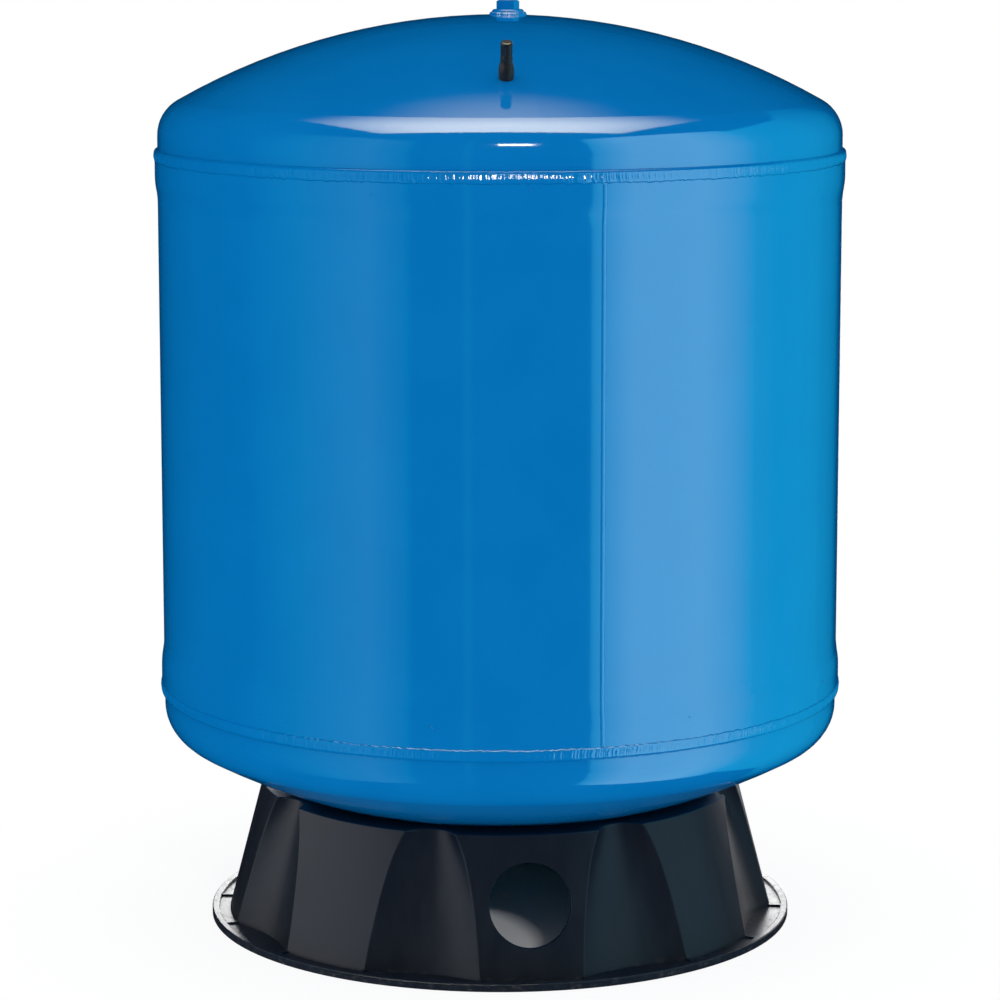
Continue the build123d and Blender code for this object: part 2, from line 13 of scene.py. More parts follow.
import bpy
import numpy as np
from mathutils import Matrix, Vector


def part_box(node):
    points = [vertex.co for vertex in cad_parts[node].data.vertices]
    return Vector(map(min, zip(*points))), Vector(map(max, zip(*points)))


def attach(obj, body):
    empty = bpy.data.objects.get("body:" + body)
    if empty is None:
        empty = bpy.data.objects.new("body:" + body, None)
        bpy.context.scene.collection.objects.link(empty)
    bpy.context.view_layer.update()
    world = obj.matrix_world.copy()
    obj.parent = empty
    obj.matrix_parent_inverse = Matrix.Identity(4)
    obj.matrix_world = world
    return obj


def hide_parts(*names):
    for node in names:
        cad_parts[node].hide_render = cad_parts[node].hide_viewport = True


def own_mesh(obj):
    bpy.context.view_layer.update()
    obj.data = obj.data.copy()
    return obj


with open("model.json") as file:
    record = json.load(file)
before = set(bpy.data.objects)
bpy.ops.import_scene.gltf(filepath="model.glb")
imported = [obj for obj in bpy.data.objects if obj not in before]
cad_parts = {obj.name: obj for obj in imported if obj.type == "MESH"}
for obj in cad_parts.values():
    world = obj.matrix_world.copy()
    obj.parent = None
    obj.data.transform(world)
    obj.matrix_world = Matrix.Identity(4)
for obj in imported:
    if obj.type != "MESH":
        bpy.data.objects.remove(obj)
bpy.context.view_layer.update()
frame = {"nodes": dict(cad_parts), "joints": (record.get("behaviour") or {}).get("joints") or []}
mm = 0.001

# %% [markdown]
# ## Sizes that the later steps need
#
# The bodies of the tank are turned about the Z axis, so a radius and a height describe most of it.
# They are measured on the loaded pieces where that is easy, so that a change in the CAD model
# carries through. The air valve leans: its axis is the axis of the joint that its cap slides on.

# %% Measure the loaded pieces
shell_low, shell_high = (corner.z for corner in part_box("shell"))
shell_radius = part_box("shell")[1].x
head_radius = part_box("upper_head")[1].x
tank_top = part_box("upper_head")[1].z
crown_radius = 580 * mm
valve_axis = Vector(next(j["axis"] for j in frame["joints"] if j["name"] == "cap_off"))
valve_foot = Vector((0, 0, tank_top - crown_radius)) + valve_axis * crown_radius


def outline_of(node):
    """Heights and outer radii of a turned piece, read from its vertices."""
    places = np.array([v.co for v in frame["nodes"][node].data.vertices])
    radii = np.hypot(places[:, 0], places[:, 1])
    heights = np.unique(places[:, 2].round(5))
    outer = [radii[np.abs(places[:, 2] - h) < 2e-5].max() for h in heights]
    return heights, np.array(outer)


shell_heights, shell_radii = outline_of("shell")


def around(turn, radius, height=0.0):
    """The point at this turn, distance from the axis and height."""
    return Vector((radius * sin(radians(turn)), -radius * cos(radians(turn)), height))


print(f"shell from z = {shell_low:.4f} to {shell_high:.4f} m, radius {shell_radius:.4f} m")
print(f"valve foot at {tuple(round(c, 4) for c in valve_foot)}")

# %% [markdown]
# ## The camera
#
# The curves of the two weld seams show how far away the photographer stood: about 3.1 m, with the
# lens 0.9 m above the floor and a little to the left of the pipe hole. Their upright edges are
# parallel, so they used a level camera with a shifted lens. Here a small shift does part of that and
# a slight downward tilt does the rest, so that the camera can also walk round the tank.

# %% Place the camera
photo_side = 1000  # pixels
focal_pixels = 3481.5
camera_turn = -6.5
camera_distance = 3.0886
camera_height = 0.8951
camera_tilt = 8.559  # degrees below the horizon
picture_shift = -0.06  # share of the picture's side

camera = bpy.data.objects.new("camera", bpy.data.cameras.new("camera"))
bpy.context.scene.collection.objects.link(camera)
bpy.context.scene.camera = camera
camera.data.sensor_width = 36.0
camera.data.lens = camera.data.sensor_width * focal_pixels / photo_side
camera.data.shift_y = picture_shift
camera.location = around(camera_turn, camera_distance, camera_height)
camera.rotation_euler = (radians(90 - camera_tilt), 0, radians(camera_turn))
print(f"lens {camera.data.lens:.1f} mm at {tuple(round(c, 3) for c in camera.location)}")

# %% [markdown]
# ## A small language for shaders
#
# A material in Blender is a graph of nodes. Wiring it by hand takes many lines, so two helpers are
# made first. `Value` wraps the output of a node and lets Python's own operators add Math nodes, so
# that `1 - mask` or `0.3 + 0.1 * grain` can be written as it is thought. `Shader.node` makes any
# other node: its settings are set first, because they can change which sockets it has.

# %% Two helpers for nodes
class Value:
    """The output of a node, which can stand in a formula."""

    def __init__(self, shader, socket):
        self.shader = shader
        self.socket = socket

    def output(self, name):
        """Another output of the same node."""
        return Value(self.shader, self.socket.node.outputs[name])

    def math(self, operation, *terms):
        """A Math node on these terms, each of them a number or the output of a node."""
        return self.shader.node("ShaderNodeMath", {"operation": operation}, dict(enumerate(terms)))

    def __add__(self, other):
        return self.math("ADD", self, other)

    def __sub__(self, other):
        return self.math("SUBTRACT", self, other)

    def __rsub__(self, other):
        return self.math("SUBTRACT", other, self)

    def __mul__(self, other):
        return self.math("MULTIPLY", self, other)

    __radd__ = __add__
    __rmul__ = __mul__


class Shader:
    """The node tree of a material, a lamp or the world."""

    def __init__(self, owner):
        owner.use_nodes = True
        self.tree = owner.node_tree
        self.tree.nodes.clear()

    def node(self, kind, settings=None, sockets=None, out=0):
        """Adds a node: first its settings, then the values or links of its sockets."""
        made = self.tree.nodes.new(kind)
        for name, setting in (settings or {}).items():
            if name == "stops":
                for number, (place, colour) in enumerate(setting):
                    stops = made.color_ramp.elements
                    stop = stops[number] if number < len(stops) else stops.new(place)
                    stop.position, stop.color = place, (*colour, 1)
            else:
                setattr(made, name, setting)
        for name, given in (sockets or {}).items():
            if isinstance(given, Value):
                self.tree.links.new(given.socket, made.inputs[name])
            else:
                made.inputs[name].default_value = given
        return Value(self, made.outputs[out]) if made.outputs else None

    def places(self):
        """Where on the object a point is, in metres; it rides along when the object moves."""
        return self.node("ShaderNodeTexCoord", out="Object")

    def noise(self, size, detail=2.0, where=None, roughness=0.5):
        """Smooth mottling from about 0.3 to 0.7, with features of this size in metres."""
        return self.node(
            "ShaderNodeTexNoise",
            {},
            {
                "Vector": where or self.places(),
                "Scale": 1 / size,
                "Detail": detail,
                "Roughness": roughness,
            },
        )

    def stretched(self, scale, where=None):
        """The places with their axes scaled, which stretches what is drawn at them."""
        return self.node(
            "ShaderNodeMapping", {}, {"Vector": where or self.places(), "Scale": scale}
        )

    def step(self, value, low, high):
        """0 below low, 1 above high, and a smooth ramp between them."""
        return self.node(
            "ShaderNodeMapRange",
            {"interpolation_type": "SMOOTHSTEP"},
            {"Value": value, "From Min": low, "From Max": high},
        )

    def mix(self, share, first, second):
        """A colour between two colours."""
        return self.node("ShaderNodeMix", {"data_type": "RGBA"}, {0: share, 6: first, 7: second}, out=2)

    def surface(self, sockets, relief=None):
        """Ends the tree in one glossy or matt surface; relief is its height in metres."""
        if relief is not None:
            bump = {"Strength": 1.0, "Distance": 1.0, "Height": relief}
            sockets = {**sockets, "Normal": self.node("ShaderNodeBump", {}, bump)}
        body = self.node("ShaderNodeBsdfPrincipled", {}, sockets)
        self.node("ShaderNodeOutputMaterial", {}, {"Surface": body})


def rgb(red, green, blue):
    """A colour for a socket, from linear shares of red, green and blue."""
    return (red, green, blue, 1.0)


def new_finish(name):
    """An empty material, and the shader to build it with."""
    material = bpy.data.materials.new(name)
    return material, Shader(material)


def give(material, *nodes):
    """Puts a material on CAD pieces, in place of the plain one they came with."""
    for name in nodes:
        slots = frame["nodes"][name].data.materials
        slots.clear()
        slots.append(material)
    print(f"{material.name}: {', '.join(nodes)}")


print("shader helpers ready")

# %% [markdown]
# ## The studio
#
# Gloss paint is a mirror, so its look is mostly the look of what stands round it. The photograph
# shows the studio in the paint: a wide softbox to the right makes the pale band with the crisp left
# edge, a narrow one to the left the faint band, one overhead lights the brow of the dome, and white
# paper glows low at the sides. Everything else in the mirror is dark. Yet the matt part of the paint
# is lit evenly all round. So the world answers each kind of ray in its own way: the eye sees white
# paper, matt surfaces get even light, and gloss sees a dark room.

# %% World: white to the eye, even light, and a dark room in the gloss
world = bpy.data.worlds.new("studio")
bpy.context.scene.world = world
bpy.context.scene.view_settings.view_transform = "Standard"

paper_white = 1.0
even_light = 1.0
room = Shader(world)
ray = room.node("ShaderNodeLightPath")
plain = room.node("ShaderNodeBackground", {}, {"Color": rgb(1, 1, 1), "Strength": paper_white})
even = room.node("ShaderNodeBackground", {}, {"Color": rgb(0.97, 0.99, 1.0), "Strength": even_light})
dark = room.node("ShaderNodeBackground", {}, {"Color": rgb(1, 1, 1), "Strength": 0.0})
in_gloss, to_the_eye = ray.output("Is Glossy Ray"), ray.output("Is Camera Ray")
lit_or_mirrored = room.node("ShaderNodeMixShader", {}, {0: in_gloss, 1: even, 2: dark})
all_rays = room.node("ShaderNodeMixShader", {}, {0: to_the_eye, 1: lit_or_mirrored, 2: plain})
room.node("ShaderNodeOutputWorld", {}, {"Surface": all_rays})
print(f"world: paper {paper_white}, even light {even_light}")

# %% [markdown]
# ### Softboxes
#
# A softbox is a rectangular lamp. Its power is worked out from the brightness that its front should
# have, because that is what a gloss surface mirrors: a lamp of twice the size needs twice the power
# to look as bright. A real one isn't evenly bright: it is palest in the middle and falls off to its
# sides. So a colour ramp runs across each lamp, by the lamp's own coordinate, from the side of the
# lower turn to the side of the higher one. A ramp that starts bright makes a crisp edge in the paint.
#
# The lamps act in the gloss alone, since the even light does the rest. The blue of the paint is
# deeper than a screen can show, which turned its reflections blue in the photograph too, but not
# those in the black plastic. So the painted steel has its own bluish lamps, and the black parts have
# neutral ones.

# %% A softbox
painted_parts = bpy.data.collections.new("painted_parts")
black_parts = bpy.data.collections.new("black_parts")


def softbox(name, turn, distance, height, width, tall, brightness, stops, onto, down=0):
    """A lamp that faces the tank's axis, tipped down by some degrees, and lights one collection."""
    lamp = bpy.data.lights.new(name, "AREA")
    lamp.shape = "RECTANGLE"
    lamp.size, lamp.size_y = width, tall
    lamp.energy = brightness * pi * width * tall
    front = Shader(lamp)
    across = front.node("ShaderNodeNewGeometry").output("Parametric")
    share = front.node("ShaderNodeSeparateXYZ", {}, {0: across})
    colour = front.node("ShaderNodeValToRGB", {"stops": stops}, {0: share})
    lit = front.node("ShaderNodeEmission", {}, {"Color": colour, "Strength": 1.0})
    front.node("ShaderNodeOutputLight", {}, {"Surface": lit})
    made = bpy.data.objects.new(name, lamp)
    bpy.context.scene.collection.objects.link(made)
    made.location = around(turn, distance, height)
    made.rotation_euler = (radians(90 - down), 0, radians(turn))
    made.visible_camera = made.visible_diffuse = False
    made.light_linking.receiver_collection = onto
    print(f"{name}: turn {turn}, {width} x {tall} m, {lamp.energy:.0f} W")
    return made


print("softboxes can be placed")

# %% [markdown]
# ### The lamps of the photograph
#
# Each edge in the paint tells at which turn the edge of a lamp stood, since a shiny cylinder mirrors
# it there. The colours were tuned until the paint looked right. Three lamps stand side by side on the
# right, and a wide one and a thin stand on the left. Three sheens light the black parts. A small
# strong lamp in front makes the bright spot on the dome.

# %% The lamps of the photograph
white = [(0, (1.0, 1.0, 1.0)), (1, (1.0, 1.0, 1.0))]
cool = (0.40, 0.87, 1.0)
pale_middle = [(0, (0.04, 0.41, 0.46)), (0.24, cool), (0.63, cool), (1, (0.05, 0.48, 0.60))]
fading = [(0, (0.07, 0.83, 1.0)), (0.3, (0.02, 0.62, 0.78)), (1, (0.01, 0.24, 0.29))]
dying = [(0, (0.03, 0.80, 1.0)), (1, (0.0, 0.06, 0.08))]
rising = [
    (0, (0, 0.04, 0.07)),
    (0.34, (0.04, 0.60, 0.55)),
    (0.75, (0.25, 0.98, 1.0)),
    (1, (0.01, 0.45, 0.36)),
]
glint = [(0, (0.05, 0.90, 0.60)), (1, (0.05, 0.90, 0.60))]
bluish = [(0, (0.45, 0.85, 1.0)), (1, (0.45, 0.85, 1.0))]
# turn, distance, height of its middle, width, height, brightness, colours, what it lights, tip
lamps = {
    "right_softbox": (50.5, 1.9, 0.25, 2.13, 4.0, 5.4, pale_middle, painted_parts),
    "right_paper": (100, 2.2, 0.25, 1.60, 4.0, 3.0, fading, painted_parts),
    "far_paper": (132.2, 2.2, 0.25, 1.00, 4.0, 0.85, dying, painted_parts),
    "left_softbox": (-62.7, 2.2, 0.25, 2.38, 4.0, 1.4, rising, painted_parts),
    "lamp_stand": (-16.2, 2.2, 0.25, 0.08, 4.0, 0.6, glint, painted_parts),
    "left_sheen": (-88, 2.2, 0.75, 3.20, 1.6, 1.0, white, black_parts),
    "side_sheen": (68, 2.2, 0.60, 2.40, 1.4, 0.62, bluish, black_parts),
    "right_sheen": (140, 2.2, 0.60, 1.60, 1.6, 1.5, white, black_parts),
    "front_lamp": (-2, 3.4, 2.35, 0.60, 0.30, 45.0, white, painted_parts, 27),
}
for name, made_so in lamps.items():
    softbox(name, *made_so)

# %% [markdown]
# ### Meshes, sheets and cards
#
# A mesh is a list of corners and a list of faces, each face naming its corners by their numbers. One
# function makes every new piece of this scene from such lists. A card is a sheet that shines, and is
# seen only in gloss.

# %% Meshes, sheets and cards
def new_piece(name, corners, faces, finish, smooth=True):
    """An object in the scene, made of these corners and faces, with one finish."""
    mesh = bpy.data.meshes.new(name)
    mesh.from_pydata([tuple(corner) for corner in corners], [], faces)
    mesh.polygons.foreach_set("use_smooth", [smooth] * len(mesh.polygons))
    mesh.materials.append(finish)
    made = bpy.data.objects.new(name, mesh)
    bpy.context.scene.collection.objects.link(made)
    print(f"{name}: {len(mesh.polygons)} faces")
    return made


def flat_sheet(name, corners, finish):
    """One flat face of the studio."""
    made = new_piece(name, corners, [tuple(range(len(corners)))], finish, smooth=False)
    return made


def seen_in_gloss_only(card):
    """Hides a card from the eye, and keeps it from lighting or shading what is matt."""
    card.visible_camera = card.visible_diffuse = card.visible_shadow = False


def from_place(shader, place):
    """Distance of a point from this place."""
    sockets = {0: shader.places(), 1: place}
    return shader.node("ShaderNodeVectorMath", {"operation": "DISTANCE"}, sockets, out="Value")


# %% [markdown]
# ### The paper floor
#
# The tank stands on white paper. Near the tank the paper is partly matt, to take its soft shadow;
# farther out it only glows, so that its edge can't be told from the white behind it. The paint
# shouldn't mirror it, because the real room was dark there.

# %% The paper floor
floor_reach = 30.0
floor_drop = 0.0002
foot_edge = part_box("base")[1].x
least_glow = 0.88  # share of its own light that the paper has right beside the tank
shadow_reach = 0.30
floor_finish, paper = new_finish("floor_paper")
outside = paper.step(from_place(paper, (0, 0, 0)), foot_edge - 0.02, foot_edge - 0.01)
spread = paper.step(from_place(paper, (0, 0, 0)), foot_edge, foot_edge + shadow_reach)
sheet_white = paper.mix(paper.noise(0.004), rgb(0.93, 0.93, 0.93), rgb(0.97, 0.97, 0.97))
matt = paper.node("ShaderNodeBsdfDiffuse", {}, {"Color": sheet_white})
glowing = paper.node("ShaderNodeEmission", {}, {"Color": rgb(1, 1, 1), "Strength": paper_white})
share = outside * (least_glow + (1 - least_glow) * spread)
blended = paper.node("ShaderNodeMixShader", {}, {0: share, 1: matt, 2: glowing})
paper.node("ShaderNodeOutputMaterial", {}, {"Surface": blended})
quarters = ((-1, -1), (1, -1), (1, 1), (-1, 1))
floor_corners = [(x * floor_reach, y * floor_reach, -floor_drop) for x, y in quarters]
floor = flat_sheet("floor", floor_corners, floor_finish)
floor.visible_glossy = floor.visible_shadow = False

# %% [markdown]
# ### Light in the pipe hole
#
# The photograph shows a pale patch of floor inside the pipe hole. A small lamp in front makes it: it
# lights nothing but the floor, and its light falls through the hole. It is wide and flat, so that
# the far edge of the patch is crisp and its right edge is soft.

# %% Light in the pipe hole
floor_only = bpy.data.collections.new("floor_only")
floor_only.objects.link(floor)
low_lamp = softbox("low_lamp", 7, 3.4, 1.62, 0.45, 0.05, 650.0, white, floor_only, down=26)
low_lamp.visible_diffuse = True

# %% [markdown]
# ### Two cards
#
# A low white card behind the tank makes the top of the foot flange shine. The big one overhead is
# brightest over the front of the tank and fades backwards, which gives the highlight on the brow of
# the dome its crisp lower edge and its soft upper one.

# %% The white card behind the tank
card_brightness = 8.0
card_distance, card_half, card_foot, card_top = 1.3, 0.45, 0.12, 0.62
card_finish, card_shader = new_finish("card_white")
lit = card_shader.node("ShaderNodeEmission", {}, {"Color": rgb(1, 1, 1), "Strength": card_brightness})
card_shader.node("ShaderNodeOutputMaterial", {}, {"Surface": lit})
card_middle = around(camera_turn + 180, card_distance)
card_side = around(camera_turn + 90, card_half)
card_low, card_high = Vector((0, 0, card_foot)), Vector((0, 0, card_top))
card_corners = [
    card_middle - card_side + card_low,
    card_middle + card_side + card_low,
    card_middle + card_side + card_high,
    card_middle - card_side + card_high,
]
seen_in_gloss_only(flat_sheet("white_card", card_corners, card_finish))

# %% The card overhead
overhead_height = 2.4
overhead_front, overhead_back, overhead_half = 1.10, 0.95, 1.20
overhead_spot = around(camera_turn, 0.95, overhead_height)  # the middle of its bright part
bright_reach, dark_reach = 0.30, 2.00  # it is all bright up to here, and dark from here on
overhead_brightness = 15.0
overhead_finish, overhead = new_finish("overhead_silk")
fade = overhead.step(from_place(overhead, overhead_spot), bright_reach, dark_reach)
warm = rgb(1.0, 0.93, 0.70)
bright = overhead.node("ShaderNodeEmission", {}, {"Color": warm, "Strength": overhead_brightness})
unlit = overhead.node("ShaderNodeEmission", {}, {"Color": rgb(1, 1, 1), "Strength": 0.0})
silk = overhead.node("ShaderNodeMixShader", {}, {0: fade, 1: bright, 2: unlit})
overhead.node("ShaderNodeOutputMaterial", {}, {"Surface": silk})
aside = around(camera_turn + 90, overhead_half)
in_front = around(camera_turn, overhead_front, overhead_height)
behind = around(camera_turn + 180, overhead_back, overhead_height)
overhead_corners = [in_front - aside, in_front + aside, behind + aside, behind - aside]
overhead_card = flat_sheet("overhead_card", overhead_corners, overhead_finish)
seen_in_gloss_only(overhead_card)

# %% [markdown]
# ## Blue enamel
#
# The vessel is painted after it is welded, so one finish runs over shell, heads, welds, collar and
# plug. Sprayed enamel is never quite flat: it has a fine orange peel, the rolled sheet under it
# waves by a tenth of a millimetre, and here and there a grain of dust is caught in it. These are
# added as relief in metres. The clear gloss on top is the shader's coat, and the paint under it
# is rougher, which gives the soft glow round each crisp reflection.

# %% Blue enamel
sheet_wave, dust_height = 70e-6, 25e-6
dust_spacing = 9 * mm


def enamel(name, peel=5e-6, lumps=0.0):
    """Blue enamel; peel and lumps are the heights of its orange peel and of what is under it."""
    material, paint = new_finish(name)
    fine = paint.noise(2.2 * mm, detail=1.5)
    sheet = paint.noise(140 * mm, detail=1.0, where=paint.stretched((1, 1, 0.35)))
    cloud = paint.noise(60 * mm, detail=3.0)
    cells = {"Vector": paint.places(), "Scale": 1 / dust_spacing}
    dust = paint.node("ShaderNodeTexVoronoi", {"feature": "F1"}, cells)
    grain = 1 - paint.step(dust, 0.025, 0.06)
    relief = fine * peel + sheet * sheet_wave + grain * dust_height
    if lumps:
        relief = relief + paint.noise(3.2 * mm, detail=1.5) * lumps
    deep, bright = rgb(0.0003, 0.166, 0.486), rgb(0.0006, 0.173, 0.498)
    paint.surface(
        {
            "Base Color": paint.mix(paint.step(cloud, 0.35, 0.65), deep, bright),
            "Roughness": 0.26 + 0.10 * cloud,
            "Specular IOR Level": 0.0,
            "Coat Weight": 1.0,
            "Coat Roughness": 0.07,
            "Coat IOR": 1.45,
        },
        relief,
    )
    return material


blue_enamel = enamel("blue_enamel")
painted_nodes = ["shell", "upper_head", "lower_head", "plug_collar", "top_plug", "base_clips"]
give(blue_enamel, *painted_nodes)
for name in painted_nodes:
    painted_parts.objects.link(frame["nodes"][name])

# %% [markdown]
# ## Weld beads
#
# The CAD model has each weld as a smooth band. A real bead is a row of overlapping ripples, one for
# each small step of the arc, with toes that wander and lumps where the wire stuttered. A bump map
# couldn't change its outline, so the bead is a mesh: a section is swept round the seam, and each
# point of the section is lifted by a ripple that bows back from the middle of the bead.
# The same sweep serves the two lap welds, the long seam and the fillets of the two ports.

# %% A bead swept along a path
def ripple(along, across, pitch, seed):
    """Height of the ripples from -1 to 1: bowed arcs with a wandering pitch, and slow lumps."""
    random = np.random.default_rng(seed)
    total = along.max() - along.min()
    wander = np.zeros_like(along)
    lumps = np.zeros_like(along)
    for share in (0.7, 1.9, 4.3):
        waves = max(1, round(total / (pitch * 5) * share))
        phases = random.uniform(0, 2 * pi, 2)
        wander += np.sin(2 * pi * waves * along / total + phases[0]) / share
        lumps += np.sin(2 * pi * waves * along / total + phases[1]) / (1 + share)
    rounds = round(total / pitch)
    bowed = rounds * along / total + 0.35 * wander - 0.9 * across**2
    return 0.7 * (1 - 2 * np.abs(np.sin(pi * bowed))) + 0.6 * lumps


def swept_bead(name, points, closed, finish, smooth=True):
    """A closed mesh from rows of section points; each row is one place along the path."""
    rows, columns = points.shape[:2]
    corners = points.reshape(-1, 3)
    faces = []
    for row in range(rows if closed else rows - 1):
        after = (row + 1) % rows
        for column in range(columns):
            beside = (column + 1) % columns
            here, there = row * columns, after * columns
            faces.append((here + column, here + beside, there + beside, there + column))
    if not closed:
        faces.append(tuple(reversed(range(columns))))
        faces.append(tuple(range((rows - 1) * columns, rows * columns)))
    made = new_piece(name, corners.tolist(), faces, finish, smooth)
    if sum(f.area * f.center.dot(f.normal) for f in made.data.polygons) < 0:
        made.data.flip_normals()  # its faces have to look outwards
    return made


def weld_on(bead, node):
    """Puts a bead on the vessel in place of the CAD model's smooth one."""
    painted_parts.objects.link(bead)
    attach(bead, "tank")
    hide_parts(node)


# %% [markdown]
# ### The two lap welds
#
# Each runs round one end of the shell, where it overlaps the head, and is about 9 mm wide. Its
# section starts on the head, goes over the edge of the shell's sheet and ends on the shell. Both its
# height and its two toes wander with the ripples.

# %% The two lap welds
weld_enamel = enamel("weld_enamel", peel=8e-6, lumps=450e-6)
bead_step = 2.6 * mm
bead_sink = 0.4 * mm  # how far its underside lies in the metal
leg, toe, rise = 9.0 * mm, 2.0 * mm, 1.05 * mm  # its reach on the shell and the head, and its height
# Places across the bead run from its toe on the head (-1) to its end on the shell (1).
corner = -0.55  # here it goes over the edge of the shell's sheet
crest = 0.35  # it rises up to here, and falls off to the shell after it


def lap_bead(name, node, edge, way, seed):
    """The bead round one edge of the shell; way is 1 where the head is above it, and -1 below."""
    samples = 9 * round(2 * pi * shell_radius / (bead_step * 2))
    turn = np.linspace(0, 2 * pi, samples, endpoint=False)
    along, over = np.meshgrid(turn * shell_radius, np.linspace(-1, 1, 11), indexing="ij")
    wave = ripple(along, over, bead_step, seed)
    edges_wander = ripple(along, over * 0, bead_step * 3.7, seed + 1)
    fall = np.where(over < crest, (crest - over) / (1 + crest), (over - crest) / (1 - crest))
    dome = 1 - fall**1.35
    to_toe, to_end = (corner - over) / (1 + corner), (over - corner) / (1 - corner)
    height = np.where(over < corner, toe * to_toe, -leg * to_end) * (1 + 0.06 * edges_wander)
    step_in = np.where(over < corner, (shell_radius - head_radius) * to_toe, 0)
    radius = shell_radius - step_in + dome * rise * (0.80 + 0.24 * wave)
    under_height = np.array([-leg * 0.92, 0.0, toe * 0.9])
    under_radius = np.array([shell_radius - bead_sink, head_radius - bead_sink, head_radius - bead_sink])
    radius = np.concatenate([radius, np.broadcast_to(under_radius, (samples, 3))], axis=1)
    height = np.concatenate([height, np.broadcast_to(under_height, (samples, 3))], axis=1)
    spin = turn[:, None]
    points = np.stack([radius * np.sin(spin), -radius * np.cos(spin), edge + way * height], axis=2)
    bead = swept_bead(name, points, True, weld_enamel)
    weld_on(bead, node)
    return bead


upper_bead = lap_bead("upper_seam_bead", "upper_seam_weld", shell_high, 1, seed=11)
lap_bead("lower_seam_bead", "lower_seam_weld", shell_low, -1, seed=12)

# %% [markdown]
# ### Glitter on the upper weld
#
# In the photograph the upper bead glitters in the middle, where its ripples catch the photographer's
# lamp. That lamp stands lower here, and lights this bead alone, because the bead of the CAD model
# slants less than the real one. For the same reason the bead doesn't see the overhead card, which
# would draw a hard white line along its upper edge.

# %% Glitter on the upper weld
upper_bead_only = bpy.data.collections.new("upper_bead_only")
upper_bead_only.objects.link(upper_bead)
softbox("glitter_lamp", -2.5, 3.4, 0.95, 0.30, 0.90, 90.0, white, upper_bead_only)
hidden_from_silk = bpy.data.collections.new("hidden_from_silk")
hidden_from_silk.objects.link(upper_bead)
hidden_from_silk.collection_objects[0].light_linking.link_state = "EXCLUDE"
overhead_card.light_linking.receiver_collection = hidden_from_silk
print("the upper bead glitters")

# %% [markdown]
# ### The long seam
#
# The sheet was rolled into a sleeve and joined by one weld, which was then dressed almost flush. It
# shows as a fine upright line right of the middle. It follows the shell where its ends open out.

# %% The long seam
seam_turn = 9.6
seam_width, seam_rise = 4.0 * mm, 0.32 * mm
seam_from, seam_to = (corner.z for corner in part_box("shell_seam_weld"))
seam_step = 1.7 * mm
rows = round((seam_to - seam_from) / seam_step * 4)
along_seam = np.linspace(seam_from, seam_to, rows)
over_seam = np.linspace(-1, 1, 9)
along, over = np.meshgrid(along_seam, over_seam, indexing="ij")
wave = ripple(along, over, seam_step, seed=21)
shell_at = np.interp(along, shell_heights, shell_radii)
lift = np.clip(1 - over**2, 0, 1) ** 0.6 * seam_rise * (0.75 + 0.2 * wave)
sideways = over * seam_width / 2 * (1 + 0.05 * ripple(along, over * 0, seam_step * 6, seed=22))
sunk = np.full((rows, 2), -bead_sink)
sunk_side = np.broadcast_to([0.8 * seam_width / 2, -0.8 * seam_width / 2], (rows, 2))
radius = np.concatenate([shell_at + lift, shell_at[:, :2] + sunk], axis=1)
sideways = np.concatenate([sideways, sunk_side], axis=1)
spin = radians(seam_turn) + sideways / shell_radius
heights = np.repeat(along_seam[:, None], radius.shape[1], axis=1)
points = np.stack([radius * np.sin(spin), -radius * np.cos(spin), heights], axis=2)
weld_on(swept_bead("shell_seam_bead", points, False, weld_enamel), "shell_seam_weld")

# %% [markdown]
# ### Fillet welds round the two ports
#
# The collar on top and the discharge fitting underneath are each held by one small fillet weld.

# %% Fillet welds round the two ports
def port_bead(name, node, leg_length, way, seed):
    """A quarter-round bead with this leg; way is 1 where it climbs up from the head, and -1 down."""
    low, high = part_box(node)
    middle = (low + high) / 2
    port_radius = (high.x - low.x) / 2 - leg_length
    face = low.z if way > 0 else high.z
    step = 1.9 * mm
    samples = 6 * round(2 * pi * port_radius / step)
    turn = np.linspace(0, 2 * pi, samples, endpoint=False)
    share = np.linspace(0, 1, 8)
    along, over = np.meshgrid(turn * port_radius, share * 2 - 1, indexing="ij")
    wave = ripple(along, over, step, seed)
    quarter = (over + 1) / 2 * pi / 2
    reach = leg_length * (0.92 + 0.10 * np.sin(2 * quarter) * wave)
    radius = port_radius - bead_sink + (reach + bead_sink) * np.cos(quarter)
    height = (high.z - low.z) * (0.9 + 0.1 * wave * np.sin(2 * quarter)) * np.sin(quarter)
    radius = np.concatenate([radius, np.full((samples, 1), port_radius - bead_sink)], axis=1)
    height = np.concatenate([height, np.zeros((samples, 1))], axis=1)
    spin = turn[:, None]
    east, north = middle.x + radius * np.sin(spin), middle.y - radius * np.cos(spin)
    points = np.stack([east, north, face + way * height], axis=2)
    weld_on(swept_bead(name, points, True, weld_enamel), node)


port_bead("collar_bead", "collar_weld", 3.0 * mm, 1, seed=31)
port_bead("fitting_bead", "fitting_weld", 4.0 * mm, -1, seed=32)

# %% [markdown]
# ### Drops of spatter
#
# The arc throws small drops of steel, and some freeze onto the sheet beside the bead, under the
# paint. The photograph shows one as a bright point above the lower seam. Each is a small flattened
# ball that sits partly in the sheet.

# %% Drops of spatter
flatness = 0.7  # height of a drop as a share of its width


